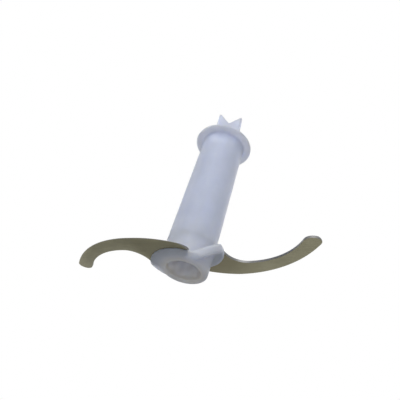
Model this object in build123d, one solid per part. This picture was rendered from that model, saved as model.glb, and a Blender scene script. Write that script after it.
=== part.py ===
from build123d import *
import math
import os

# Chopper blade of a food processor: a one-piece moulded hub that grips two sickle blades.
# Frame: +Z up along the shaft, origin on the shaft axis in the plane of the hub's bottom rim.
# The upper blade points along +X and the lower one along -X. Seen from above it turns anticlockwise.
# Lengths are in millimetres and angles in degrees.

# Heights above the bottom rim
lower_blade_height = 1.8
blade_level_gap = 15.2
flange_height = 100.2

# Hub shaft, foot rim and the bore for the bowl's post
shaft_radius = 14.0
shaft_top_radius = 13.6
foot_rim_radius = 13.4
foot_rim_rounding = 1.2
bore_radius = 9.4
bore_depth = 92.0
bore_mouth_chamfer = 0.4
bore_end_cone = 3.0

# Top flange
flange_radius = 18.7
flange_thickness = 2.0
flange_edge_chamfer = 0.5
flange_root_rounding = 1.3

# Collar that carries the blades, stepped from one level to the other by two ramps
collar_radius = 19.2
collar_thickness = 1.9
collar_ramp_end = 7.8
collar_bend_radius = 3.0
collar_bowl_inset = 5.0
collar_bowl_height = 1.2
collar_direction = 60.0
collar_relief_direction = 135.0
collar_relief_angle = 17.4
collar_relief_start = 5.0
front_ramp_start = -7.8
front_ramp_thickness = 4.2
back_ramp_start = -13.5
back_ramp_thickness = 5.9

# Drive crown, measured from the underside of the flange
crown_corner_radius = 10.8
crown_flare = 0.6
crown_direction = -22.6
crown_notch_height = 16.6
crown_tip_height = 25.2
crown_tip_blunting = 0.8
crown_corner_rounding = 1.4

# Blade plan, drawn for the upper blade
blade_thickness = 1.4
leading_edge_radius = 66.0
leading_edge_centre = (20.0, -38.4)
leading_edge_tip_angle = 36.6
tip_outer_rounding = 2.8
tip_inner_rounding = 5.5
trailing_edge_radius = 41.2
trailing_edge_crest = (29.5, 17.0)
throat_radius = 12.5
heel_start = -4.0
heel_radius = 8.0

# Blade bend, ground edge and the eye moulded into the middle of the hub's wall
bend_clearance = 0.8
blade_rise_angle = 2.26
bevel_width = 3.2
edge_land = 0.25
eye_cover = 1.0

upper_blade_height = lower_blade_height + blade_level_gap
bend_distance = collar_radius + bend_clearance
eye_radius = foot_rim_radius - eye_cover
eye_hole_radius = bore_radius + eye_cover


def polar(radius, angle, centre=(0.0, 0.0)):
    """Point at a radius and angle from a centre."""
    turn = math.radians(angle)
    return (centre[0] + radius * math.cos(turn), centre[1] + radius * math.sin(turn))


def direction(point, centre=(0.0, 0.0)):
    """Angle of a point as seen from a centre."""
    return math.degrees(math.atan2(point[1] - centre[1], point[0] - centre[0]))


def arc_about(centre, start, end):
    """Arc about a centre from one point to another, the shorter way round."""
    radius = math.dist(start, centre)
    start_angle = direction(start, centre)
    sweep = (direction(end, centre) - start_angle + 180.0) % 360.0 - 180.0
    return ThreePointArc(start, polar(radius, start_angle + sweep / 2, centre), end)


def at_point(vertex, point):
    """Whether a vertex of a flat section lies at a point."""
    return math.dist((vertex.X, vertex.Y), point) < 0.01


def round_corner(section, point, radius):
    """Round one corner of a flat section."""
    corner = [v for v in section.vertices() if at_point(v, point)]
    return fillet(corner, radius)


def turned(section):
    """Solid of revolution from a section drawn as radius and height."""
    return revolve(Plane.XZ * section, Axis.Z)


def half_space(angle, size):
    """Block that fills the side of the axis that an angle points to."""
    return Rot(0, 0, angle) * Pos(size / 2, 0, 0) * Box(size, 2 * size, 2 * size)


def tip_cut_end(tip_outer, trailing_centre):
    """Where the straight cut across the tip meets the trailing edge."""
    inward = polar(1.0, leading_edge_tip_angle + 180.0)
    offset = (tip_outer[0] - trailing_centre[0], tip_outer[1] - trailing_centre[1])
    along = offset[0] * inward[0] + offset[1] * inward[1]
    power = offset[0] ** 2 + offset[1] ** 2 - trailing_edge_radius**2
    distance = -along - math.sqrt(along**2 - power)
    return (tip_outer[0] + distance * inward[0], tip_outer[1] + distance * inward[1])


def blade_plan():
    """Flat outline of a blade: sickle, heel and the eye moulded into the hub's wall."""
    crest_x, crest_y = trailing_edge_crest
    trailing_centre = (crest_x, crest_y - trailing_edge_radius)
    throat_centre = (crest_x, crest_y - throat_radius)
    throat_end = (crest_x - throat_radius, crest_y - throat_radius)
    tip_outer = polar(leading_edge_radius, leading_edge_tip_angle, leading_edge_centre)
    tip_inner = tip_cut_end(tip_outer, trailing_centre)

    heel_run = heel_start - leading_edge_centre[0]
    heel_y = leading_edge_centre[1] + math.sqrt(leading_edge_radius**2 - heel_run**2)
    heel = (heel_start, heel_y)
    heel_angle = direction(heel, leading_edge_centre)
    heel_centre = polar(leading_edge_radius - heel_radius, heel_angle, leading_edge_centre)
    heel_end = (heel_centre[0] - heel_radius, heel_centre[1])

    outline = [
        arc_about(throat_centre, throat_end, trailing_edge_crest),
        arc_about(trailing_centre, trailing_edge_crest, tip_inner),
        Line(tip_inner, tip_outer),
        arc_about(leading_edge_centre, tip_outer, heel),
        arc_about(heel_centre, heel, heel_end),
        Line(heel_end, (0.0, 0.0)),
        Line((0.0, 0.0), throat_end),
    ]
    sickle = make_face(Wire(outline))
    sickle = round_corner(sickle, tip_outer, tip_outer_rounding)
    sickle = round_corner(sickle, tip_inner, tip_inner_rounding)
    return sickle + Circle(eye_radius) - Circle(eye_hole_radius)


def edge_grinding():
    """Conical cut that grinds the top face down to a thin land along the leading edge."""
    start = leading_edge_radius - bevel_width
    reach = 2 * bevel_width
    fall = 2 * (blade_thickness - edge_land)
    section = Polyline(
        (start, blade_thickness),
        (start + reach, blade_thickness - fall),
        (start + reach, 2 * blade_thickness),
        (start, 2 * blade_thickness),
        close=True,
    )
    return Pos(leading_edge_centre[0], leading_edge_centre[1], 0) * turned(make_face(section))


def blade():
    """One blade with its underside at height zero, bent up a little outside the collar."""
    flat = extrude(blade_plan(), amount=blade_thickness) - edge_grinding()
    outside = Pos(bend_distance, 0, 0) * half_space(0, 2 * leading_edge_radius)
    bend_line = Axis((bend_distance, 0, 0), (0, 1, 0))
    wing = (flat & outside).rotate(bend_line, -blade_rise_angle)
    return (flat - outside) + wing


def shaft():
    """Turned form of the hub: foot rim, drafted shaft and top flange."""
    top = flange_height + flange_thickness
    shoulder = flange_radius - flange_edge_chamfer
    outline = Polyline(
        (0, 0),
        (foot_rim_radius, 0),
        (shaft_radius, upper_blade_height),
        (shaft_top_radius, flange_height),
        (shoulder, flange_height),
        (flange_radius, flange_height + flange_edge_chamfer),
        (flange_radius, top - flange_edge_chamfer),
        (shoulder, top),
        (0, top),
        close=True,
    )
    section = round_corner(make_face(outline), (foot_rim_radius, 0), foot_rim_rounding)
    section = round_corner(section, (shaft_top_radius, flange_height), flange_root_rounding)
    return turned(section)


def bore():
    """Blind bore for the bowl's post, with a chamfered mouth and a conical end."""
    outline = Polyline(
        (0, 0),
        (bore_radius + bore_mouth_chamfer, 0),
        (bore_radius, bore_mouth_chamfer),
        (bore_radius, bore_depth),
        (0, bore_depth + bore_end_cone),
        close=True,
    )
    return turned(make_face(outline))


def ramp_plate(ramp_start, ramp_thickness):
    """Plate stepped by one ramp from the lower blade's level to the upper one's."""
    slope = blade_level_gap / (collar_ramp_end - ramp_start)
    shift = (ramp_thickness * math.hypot(1.0, slope) - collar_thickness) / slope
    reach = 2 * collar_radius
    step = Polyline(
        (-reach, lower_blade_height),
        (ramp_start, lower_blade_height),
        (collar_ramp_end, upper_blade_height),
        (reach, upper_blade_height),
        (reach, upper_blade_height - collar_thickness),
        (collar_ramp_end + shift, upper_blade_height - collar_thickness),
        (ramp_start + shift, lower_blade_height - collar_thickness),
        (-reach, lower_blade_height - collar_thickness),
        close=True,
    )
    profile = make_face(step)
    bends = [v for v in profile.vertices() if abs(v.X) < reach - 1.0]
    profile = fillet(bends, collar_bend_radius)
    across = Vector(*polar(1.0, collar_direction), 0)
    side = Plane(origin=(0, 0, 0), x_dir=across, z_dir=across.cross(Vector(0, 0, 1)))
    return extrude(side * profile, amount=reach, both=True)


def collar():
    """Round collar with a ramp in front and one at the back, lifted clear under the back."""
    size = 4 * collar_radius
    front = ramp_plate(front_ramp_start, front_ramp_thickness)
    back = ramp_plate(back_ramp_start, back_ramp_thickness)
    front = front & half_space(collar_direction - 90.0, size)
    back = back & half_space(collar_direction + 90.0, size)
    return ((front + back) & collar_round()) - collar_relief()


def collar_round():
    """Round body that gives the collar its rim and the shallow bowl under its lower pad."""
    rim = (collar_radius, collar_bowl_height)
    outline = Polyline(
        (0, 0),
        (collar_radius - collar_bowl_inset, 0),
        rim,
        (collar_radius, flange_height),
        (0, flange_height),
        close=True,
    )
    return turned(round_corner(make_face(outline), rim, collar_bowl_height))


def collar_relief():
    """Sloping cut that lifts the collar's underside towards the back ramp."""
    size = 4 * collar_radius
    block = Pos(size / 2, 0, -size / 2) * Box(size, 2 * size, size)
    sloped = Pos(collar_relief_start, 0, 0) * Rot(0, -collar_relief_angle, 0) * block
    return Rot(0, 0, collar_relief_direction) * sloped


def crown():
    """Square column with two crossed V grooves, which leave four blunt pointed teeth."""
    side = crown_corner_radius * math.sqrt(2)
    foot = RectangleRounded(side, side, crown_corner_rounding)
    head = RectangleRounded(side + 2 * crown_flare, side + 2 * crown_flare, crown_corner_rounding)
    column = loft([foot, Pos(0, 0, crown_tip_height) * head])
    rise = 2 * (crown_tip_height - crown_notch_height)
    groove = Polyline(
        (0, crown_notch_height),
        (side, crown_notch_height + rise),
        (-side, crown_notch_height + rise),
        close=True,
    )
    notch = extrude(Plane.XZ * make_face(groove), amount=side, both=True)
    middle = crown_notch_height / 2
    reach = math.dist((0, middle), (crown_corner_radius, crown_tip_height - crown_tip_blunting))
    teeth = column - notch - notch.rotate(Axis.Z, 90)
    teeth = teeth & (Pos(0, 0, middle) * Sphere(reach))
    return Pos(0, 0, flange_height) * teeth.rotate(Axis.Z, crown_direction + 45.0)


def hub(blades):
    """Moulded hub, with pockets where the plastic closes round the blades' roots."""
    body = shaft() + collar() + crown() - bore()
    for insert in blades:
        body = body - insert
    return body


upper_blade = Pos(0, 0, upper_blade_height) * blade()
lower_blade = Pos(0, 0, lower_blade_height) * blade().rotate(Axis.Z, 180)

nodes = {
    "hub": hub((upper_blade, lower_blade)),
    "upper_blade": upper_blade,
    "lower_blade": lower_blade,
}

os.makedirs("parts", exist_ok=True)
for name, solid in nodes.items():
    export_step(solid, f"parts/{name}.step")
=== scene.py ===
import bpy
from mathutils import Matrix, Vector


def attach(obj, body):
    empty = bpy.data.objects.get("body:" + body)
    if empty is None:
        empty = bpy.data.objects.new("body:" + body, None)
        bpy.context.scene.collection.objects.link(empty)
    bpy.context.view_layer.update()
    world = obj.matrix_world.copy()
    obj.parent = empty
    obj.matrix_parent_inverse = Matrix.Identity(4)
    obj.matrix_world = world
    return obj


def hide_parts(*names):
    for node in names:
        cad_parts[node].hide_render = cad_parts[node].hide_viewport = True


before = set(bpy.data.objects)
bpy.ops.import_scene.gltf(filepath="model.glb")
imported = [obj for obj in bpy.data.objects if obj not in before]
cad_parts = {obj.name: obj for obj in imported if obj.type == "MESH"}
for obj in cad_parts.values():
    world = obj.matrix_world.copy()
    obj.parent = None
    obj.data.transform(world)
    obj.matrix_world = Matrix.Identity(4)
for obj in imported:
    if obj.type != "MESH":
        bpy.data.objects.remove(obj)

# Food processor blade: milky moulded hub and two steel blades, seen from below the foot.
# Lengths are in metres. Only the camera's lens and sensor and the lamps' places are in millimetres.
# Colours are linear.

MM = 0.001

# Camera, from the photograph's perspective
CAMERA_PLACE = Vector((114.33, -178.49, -120.52)) * MM
CAMERA_FORWARD = Vector((-0.43075, 0.64816, 0.62797))
CAMERA_RIGHT = Vector((0.90010, 0.35894, 0.24694))
CAMERA_LENS = 40.32
CAMERA_SENSOR = 36.0
CAMERA_NEAR = 5.0 * MM

# Floor, which fades out between two distances and shows only in part in glossy reflections
FLOOR_HEIGHT = -0.2 * MM
FLOOR_SIZE = 6.0
FLOOR_COLOUR = (0.80, 0.80, 0.80, 1.0)
FLOOR_FADE = (220.0 * MM, 520.0 * MM)
FLOOR_IN_REFLECTIONS = 0.60
FLOOR_GLOW = 0.22

# Sky, with the way to its bright side and its light on the dark and the bright side
SKY_COLOUR = (1.0, 1.0, 1.0, 1.0)
SKY_BRIGHT_SIDE = (0.51, -0.86, 0.0)
SKY_LIGHT = (0.26, 0.66)

# Lamps, which all face one point
LIGHT_TARGET = Vector((0.0, 0.0, 50.0)) * MM
LAMPS = {
    "key": {"place": (120, -520, 330), "size": 0.60, "power": 1.7},
    "side": {"place": (-520, -160, 300), "size": 0.60, "power": 0.2},
    "rear": {"place": (60, 420, 520), "size": 0.60, "power": 0.9},
}

# Centre of the arc of each blade's leading edge, from which its grinding marks fan out
UPPER_EDGE_CENTRE = Vector((20.0, -38.4, 0.0)) * MM
LOWER_EDGE_CENTRE = -UPPER_EDGE_CENTRE

# Moulded hub, whose rounded edges come from softening a fine skin
HUB_SKIN_STEP = 0.55 * MM
HUB_SOFTENING = 0.5
HUB_SOFTENING_ROUNDS = 6

# Milky plastic, with a painted glow in the bore's mouth: a warmer, lighter tint for light through the
# walls, fading out away from the mouth
PLASTIC_LIGHT = (0.69, 0.74, 0.90, 1.0)
PLASTIC_DARK = (0.61, 0.66, 0.80, 1.0)
PLASTIC_MOUTH_PAINTED_GLOW = (0.80, 0.77, 0.71, 1.0)
PAINTED_GLOW_RADIUS = (8.0 * MM, 15.0 * MM)
PAINTED_GLOW_DEPTH = (2.0 * MM, 34.0 * MM)
PLASTIC_SHEEN = 0.22
PLASTIC_ROUGHNESS = (0.40, 0.54)
PLASTIC_DEPTH = 9.0 * MM
PLASTIC_REACH = (1.0, 0.90, 0.75)
PLASTIC_PASSES = 0.36
PLASTIC_REFRACTION = 1.49

# Patches and streaks in the plastic, and the share of the patches in its tone
CLOUDS = {"scale": 42.0, "detail": 4.0, "roughness": 0.55}
CLOUD_SHARE = 0.65
STREAKS = {"scale": 190.0, "detail": 3.0}
STREAK_STRETCH = (1.0, 1.0, 0.16)
STREAK_RELIEF = {"strength": 0.25, "distance": 0.12 * MM}
PLASTIC_TONES = (0.36, 0.62)

# Fine skin of the plastic
SCUFFS = {"scale": 420.0, "detail": 5.0, "roughness": 0.7}
SCUFF_STRETCH = (1.0, 1.0, 3.5)
SCUFF_RANGE = (0.35, 0.68)
PORES = {"scale": 3200.0, "detail": 2.0}
PORE_RELIEF = {"strength": 0.18, "distance": 0.02 * MM}

# Blade steel, with a brown stain and painted shade, darker towards the hub, that fade out away from it
STEEL_LIGHT = (0.31, 0.295, 0.205, 1.0)
STEEL_DARK = (0.21, 0.20, 0.13, 1.0)
STEEL_STAIN_AND_SHADE = (0.11, 0.085, 0.04, 1.0)
STAIN_AND_SHADE_REACH = (19.0 * MM, 46.0 * MM)
# Dark colour of the sheared sides: painted shade
STEEL_SIDE_PAINTED_SHADE = (0.17, 0.17, 0.17, 1.0)
# Bright colour of the ground edge: partly the brighter ground metal, partly a painted highlight
STEEL_EDGE_PAINTED_HIGHLIGHT = (0.80, 0.80, 0.79, 1.0)
STEEL_ROUGHNESS = (0.30, 0.46)
STEEL_BRUSHING = 0.35
STEEL_TONES = (0.36, 0.64)
STEEL_RELIEF = {"strength": 0.22, "distance": 0.02 * MM}
# Strength of the stain and painted shade at each blade's root
UPPER_ROOT_STAIN_AND_SHADE = 0.75
LOWER_ROOT_STAIN_AND_SHADE = 0.10

# Brushed grain of the steel, and its share in the tone
GRAIN = {"scale": 2600.0, "detail": 3.0, "roughness": 0.6}
GRAIN_STRETCH = (0.035, 1.0, 1.0)
GRAIN_SHARE = 0.45
# How far the grain breaks up the stain and painted shade at the root
GRAIN_IN_STAIN_AND_SHADE = (0.2, 0.6)

# Soft patches on the steel, shifted so that the two blades differ
PATCHES = {"scale": 46.0, "detail": 4.0, "roughness": 0.6}
PATCH_SHIFT = 7.0
PATCH_RANGE = (0.32, 0.70)

# Grinding marks on the leading edge, which also streak its painted highlight
GRINDING = {"scale": 620.0, "detail": 3.0, "roughness": 0.7}
GRINDING_RANGE = (0.3, 0.7)

# Upright part of a face's normal where the ground edge, with its painted highlight, or a sheared side,
# in painted shade, begins and is complete
GROUND_FROM = (0.985, 0.960)
SHADED_SIDE_FROM = (0.70, 0.40)
STEEL_CORNER_RADIUS = 0.12 * MM
STEEL_CORNER_SAMPLES = 6

# Places of the two colours and of the result on a mix node
MIX_COLOURS = (6, 7)
MIX_RESULT = 2


class Nodes:
    """Short way to build a material's node tree."""

    def __init__(self, name):
        self.material = bpy.data.materials.new(name)
        self.material.use_nodes = True
        self.tree = self.material.node_tree
        self.tree.nodes.clear()
        self.output = self.add("ShaderNodeOutputMaterial")

    def add(self, kind, inputs=None, **settings):
        """A node with its settings and inputs, which are values or other nodes' sockets."""
        node = self.tree.nodes.new(kind)
        for key, value in settings.items():
            setattr(node, key, value)
        for key, value in (inputs or {}).items():
            if isinstance(value, bpy.types.NodeSocket):
                self.tree.links.new(value, node.inputs[key])
            else:
                node.inputs[key].default_value = value
        return node

    def place(self):
        """Object coordinates, in metres."""
        return self.add("ShaderNodeTexCoord").outputs["Object"]

    def scaled(self, vector, scale, offset=(0.0, 0.0, 0.0)):
        """A vector moved and scaled axis by axis."""
        inputs = {"Vector": vector, "Scale": scale, "Location": offset}
        return self.add("ShaderNodeMapping", inputs).outputs["Vector"]

    def noise(self, vector, scale, detail=3.0, roughness=0.5):
        """Soft noise from 0 to 1."""
        inputs = {"Vector": vector, "Scale": scale, "Detail": detail, "Roughness": roughness}
        return self.add("ShaderNodeTexNoise", inputs).outputs["Fac"]

    def spread(self, value, low, high, to_low=0.0, to_high=1.0):
        """A value from one range mapped on to another, and clamped there."""
        inputs = {
            "Value": value,
            "From Min": low,
            "From Max": high,
            "To Min": to_low,
            "To Max": to_high,
        }
        return self.add("ShaderNodeMapRange", inputs).outputs["Result"]

    def math(self, operation, first, second=0.0):
        """One sum on two values."""
        return self.add("ShaderNodeMath", {0: first, 1: second}, operation=operation).outputs[0]

    def shared(self, first, second, share):
        """A sum in which the first value has a share and the second one has the rest."""
        part = self.math("MULTIPLY", first, share)
        rest = self.math("MULTIPLY", second, 1.0 - share)
        return self.math("ADD", part, rest)

    def blend(self, factor, first, second):
        """A mix of two colours."""
        node = self.add("ShaderNodeMix", {"Factor": factor}, data_type="RGBA")
        for key, value in zip(MIX_COLOURS, (first, second)):
            if isinstance(value, bpy.types.NodeSocket):
                self.tree.links.new(value, node.inputs[key])
            else:
                node.inputs[key].default_value = value
        return node.outputs[MIX_RESULT]

    def bump(self, height, strength, distance, normal=None):
        """Fine relief from a height."""
        inputs = {"Height": height, "Strength": strength, "Distance": distance}
        if normal is not None:
            inputs["Normal"] = normal
        return self.add("ShaderNodeBump", inputs).outputs["Normal"]

    def finish(self, shader):
        """Connects the last shader and gives the material."""
        self.tree.links.new(shader, self.output.inputs["Surface"])
        return self.material


def make_plastic():
    """Natural milky plastic: cloudy, slightly see-through, with a satin moulded skin and a painted glow
    in the bore's mouth.
    """
    n = Nodes("milky_plastic")
    place = n.place()
    clouds = n.noise(place, **CLOUDS)
    streaks = n.noise(n.scaled(place, STREAK_STRETCH), **STREAKS)
    tone = n.shared(clouds, streaks, CLOUD_SHARE)
    colour = n.blend(n.spread(tone, *PLASTIC_TONES), PLASTIC_DARK, PLASTIC_LIGHT)

    # Painted glow: a warmer, lighter tint near the bore's mouth, for light coming through the walls
    # into the hollow
    outward = n.add("ShaderNodeVectorMath", {0: n.scaled(place, (1.0, 1.0, 0.0))}, operation="LENGTH")
    inward = n.spread(outward.outputs["Value"], *PAINTED_GLOW_RADIUS, 1.0, 0.0)
    height = n.add("ShaderNodeSeparateXYZ", {0: place}).outputs["Z"]
    painted_glow_in_mouth = n.math("MULTIPLY", inward, n.spread(height, *PAINTED_GLOW_DEPTH, 1.0, 0.0))
    colour = n.blend(painted_glow_in_mouth, colour, PLASTIC_MOUTH_PAINTED_GLOW)

    scuffs = n.noise(n.scaled(place, SCUFF_STRETCH), **SCUFFS)
    roughness = n.spread(scuffs, *SCUFF_RANGE, *PLASTIC_ROUGHNESS)

    ripple = n.bump(streaks, **STREAK_RELIEF)
    normal = n.bump(n.noise(place, **PORES), normal=ripple, **PORE_RELIEF)

    shader = n.add("ShaderNodeBsdfPrincipled", {
        "Base Color": colour,
        "Roughness": roughness,
        "Normal": normal,
        "IOR": PLASTIC_REFRACTION,
        "Specular IOR Level": PLASTIC_SHEEN,
        "Transmission Weight": PLASTIC_PASSES,
        "Subsurface Weight": 1.0,
        "Subsurface Radius": PLASTIC_REACH,
        "Subsurface Scale": PLASTIC_DEPTH,
    })
    return n.finish(shader.outputs["BSDF"])


def make_steel(name, edge_centre, root_stain_and_shade):
    """Brushed stainless steel: ground leading edge with a painted highlight, sheared sides in painted
    shade, and a stain with painted shade at the root.
    """
    n = Nodes(name)
    place = n.place()
    grain = n.noise(n.scaled(place, GRAIN_STRETCH), **GRAIN)
    patches = n.noise(n.scaled(place, (1.0, 1.0, 1.0), tuple(edge_centre * PATCH_SHIFT)), **PATCHES)

    offset = n.add("ShaderNodeVectorMath", {0: place, 1: edge_centre}, operation="SUBTRACT").outputs[0]
    parts = n.add("ShaderNodeSeparateXYZ", {0: offset})
    turn = n.math("ARCTAN2", parts.outputs["Y"], parts.outputs["X"])
    across = n.add("ShaderNodeCombineXYZ", {"X": turn}).outputs[0]
    grinding = n.noise(across, **GRINDING)

    facing = n.add("ShaderNodeSeparateXYZ", {0: n.add("ShaderNodeNewGeometry").outputs["True Normal"]})
    level = n.math("ABSOLUTE", facing.outputs["Z"])
    ground = n.spread(level, *GROUND_FROM)
    side = n.spread(level, *SHADED_SIDE_FROM)

    tone = n.shared(grain, patches, GRAIN_SHARE)
    flat_colour = n.blend(n.spread(tone, *STEEL_TONES), STEEL_DARK, STEEL_LIGHT)
    outward = n.add("ShaderNodeVectorMath", {0: place}, operation="LENGTH").outputs["Value"]
    # Stain and painted shade: darker, browner streaks along the grain towards the hub
    stain_and_shade_near_root = n.spread(outward, *STAIN_AND_SHADE_REACH, root_stain_and_shade, 0.0)
    stain_and_shade_mask = n.math("MULTIPLY", stain_and_shade_near_root, n.spread(grain, *GRAIN_IN_STAIN_AND_SHADE))
    flat_colour = n.blend(stain_and_shade_mask, flat_colour, STEEL_STAIN_AND_SHADE)
    # Ground edge: partly the brighter ground metal, partly a painted highlight, streaked by the
    # grinding marks
    ground_and_highlight_colour = n.blend(n.spread(grinding, *GRINDING_RANGE), STEEL_LIGHT, STEEL_EDGE_PAINTED_HIGHLIGHT)
    colour = n.blend(ground, flat_colour, ground_and_highlight_colour)
    # Sheared sides painted dark as shade
    colour = n.blend(side, colour, STEEL_SIDE_PAINTED_SHADE)

    relief = n.blend(ground, grain, grinding)
    corner = n.add("ShaderNodeBevel", {"Radius": STEEL_CORNER_RADIUS}, samples=STEEL_CORNER_SAMPLES)
    normal = n.bump(relief, normal=corner.outputs["Normal"], **STEEL_RELIEF)
    roughness = n.spread(patches, *PATCH_RANGE, *STEEL_ROUGHNESS)

    shader = n.add("ShaderNodeBsdfPrincipled", {
        "Base Color": colour,
        "Roughness": roughness,
        "Normal": normal,
        "Metallic": 1.0,
        "Anisotropic": STEEL_BRUSHING,
    })
    return n.finish(shader.outputs["BSDF"])


def make_floor_material():
    """Pale matt floor, seen from above and thinly in reflections, that fades out away from the part."""
    n = Nodes("floor")
    path = n.add("ShaderNodeLightPath")
    reflected = n.math("MULTIPLY", path.outputs["Is Glossy Ray"], FLOOR_IN_REFLECTIONS)
    seen = n.math("MAXIMUM", path.outputs["Is Camera Ray"], reflected)
    seen = n.math("MAXIMUM", seen, path.outputs["Is Transmission Ray"])
    back = n.add("ShaderNodeNewGeometry").outputs["Backfacing"]
    shown = n.math("MULTIPLY", seen, n.math("SUBTRACT", 1.0, back))
    away = n.add("ShaderNodeVectorMath", {0: n.place()}, operation="LENGTH").outputs["Value"]
    shown = n.math("MULTIPLY", shown, n.spread(away, *FLOOR_FADE, 1.0, 0.0))
    matt = n.add("ShaderNodeBsdfDiffuse", {"Color": FLOOR_COLOUR}).outputs[0]
    glow = n.add("ShaderNodeEmission", {
        "Color": FLOOR_COLOUR,
        "Strength": n.math("MULTIPLY", path.outputs["Is Camera Ray"], FLOOR_GLOW),
    }).outputs[0]
    pale = n.add("ShaderNodeAddShader", {0: matt, 1: glow}).outputs[0]
    clear = n.add("ShaderNodeBsdfTransparent").outputs[0]
    return n.finish(n.add("ShaderNodeMixShader", {0: shown, 1: clear, 2: pale}).outputs[0])


def add_floor():
    """Floor under the foot."""
    half = FLOOR_SIZE / 2
    mesh = bpy.data.meshes.new("floor")
    corners = [(-half, -half), (half, -half), (half, half), (-half, half)]
    mesh.from_pydata([(x, y, FLOOR_HEIGHT) for x, y in corners], [], [(0, 1, 2, 3)])
    floor = bpy.data.objects.new("floor", mesh)
    bpy.context.scene.collection.objects.link(floor)
    mesh.materials.append(make_floor_material())


def set_world():
    """Soft light, more from one side, and plain white to camera, glossy and transmission rays."""
    world = bpy.data.worlds.new("studio")
    world.use_nodes = True
    bpy.context.scene.world = world
    tree = world.node_tree
    tree.nodes.clear()
    facing = tree.nodes.new("ShaderNodeVectorMath")
    facing.operation = "DOT_PRODUCT"
    facing.inputs[1].default_value = SKY_BRIGHT_SIDE
    tree.links.new(tree.nodes.new("ShaderNodeTexCoord").outputs["Generated"], facing.inputs[0])
    sky = tree.nodes.new("ShaderNodeMapRange")
    dark_side, bright_side = SKY_LIGHT
    sky.inputs["From Min"].default_value = -1.0
    sky.inputs["To Min"].default_value = dark_side
    sky.inputs["To Max"].default_value = bright_side
    tree.links.new(facing.outputs["Value"], sky.inputs["Value"])
    path = tree.nodes.new("ShaderNodeLightPath")
    seen = path.outputs["Is Camera Ray"]
    for ray in ("Is Glossy Ray", "Is Transmission Ray"):
        either = tree.nodes.new("ShaderNodeMath")
        either.operation = "MAXIMUM"
        tree.links.new(seen, either.inputs[0])
        tree.links.new(path.outputs[ray], either.inputs[1])
        seen = either.outputs[0]
    strength = tree.nodes.new("ShaderNodeMapRange")
    strength.inputs["To Max"].default_value = 1.0
    tree.links.new(sky.outputs["Result"], strength.inputs["To Min"])
    tree.links.new(seen, strength.inputs["Value"])
    background = tree.nodes.new("ShaderNodeBackground")
    background.inputs["Color"].default_value = SKY_COLOUR
    tree.links.new(strength.outputs["Result"], background.inputs["Strength"])
    output = tree.nodes.new("ShaderNodeOutputWorld")
    tree.links.new(background.outputs[0], output.inputs["Surface"])


def add_lamps():
    """Large soft lamps round the object."""
    for name, lamp in LAMPS.items():
        data = bpy.data.lights.new(name, "AREA")
        data.shape = "DISK"
        data.size = lamp["size"]
        data.energy = lamp["power"]
        light = bpy.data.objects.new(name, data)
        light.location = Vector(lamp["place"]) * MM
        light.rotation_euler = (LIGHT_TARGET - light.location).to_track_quat("-Z", "Y").to_euler()
        light.visible_camera = False
        bpy.context.scene.collection.objects.link(light)


def add_camera():
    """The photograph's camera."""
    data = bpy.data.cameras.new("camera")
    data.lens = CAMERA_LENS
    data.sensor_width = CAMERA_SENSOR
    data.clip_start = CAMERA_NEAR
    camera = bpy.data.objects.new("camera", data)
    back = -CAMERA_FORWARD.normalized()
    right = (CAMERA_RIGHT - CAMERA_RIGHT.dot(back) * back).normalized()
    up = back.cross(right)
    turn = Matrix((right, up, back)).transposed().to_4x4()
    camera.matrix_world = Matrix.Translation(CAMERA_PLACE) @ turn
    bpy.context.scene.collection.objects.link(camera)
    bpy.context.scene.camera = camera


def dress(piece, material):
    """Gives a piece its one material."""
    piece.data.materials.clear()
    piece.data.materials.append(material)


def settled(piece):
    """Turns a piece's modifiers into its mesh."""
    graph = bpy.context.evaluated_depsgraph_get()
    mesh = bpy.data.meshes.new_from_object(piece.evaluated_get(graph))
    piece.modifiers.clear()
    piece.data = mesh


def make_moulded_hub():
    """The hub with softened edges and blunter teeth, shown in place of the sharp solid."""
    piece = bpy.data.objects.new("moulded_hub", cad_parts["hub"].data.copy())
    bpy.context.scene.collection.objects.link(piece)
    skin = piece.modifiers.new("skin", "REMESH")
    skin.mode = "VOXEL"
    skin.voxel_size = HUB_SKIN_STEP
    skin.use_smooth_shade = True
    soften = piece.modifiers.new("soften", "SMOOTH")
    soften.factor = HUB_SOFTENING
    soften.iterations = HUB_SOFTENING_ROUNDS
    settled(piece)
    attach(piece, "root")
    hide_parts("hub")
    return piece


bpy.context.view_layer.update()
add_camera()
set_world()
add_lamps()
add_floor()
dress(make_moulded_hub(), make_plastic())
upper_steel = make_steel("upper_blade_steel", UPPER_EDGE_CENTRE, UPPER_ROOT_STAIN_AND_SHADE)
dress(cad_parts["upper_blade"], upper_steel)
lower_steel = make_steel("lower_blade_steel", LOWER_EDGE_CENTRE, LOWER_ROOT_STAIN_AND_SHADE)
dress(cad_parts["lower_blade"], lower_steel)

bpy.context.scene.view_settings.view_transform = "Standard"
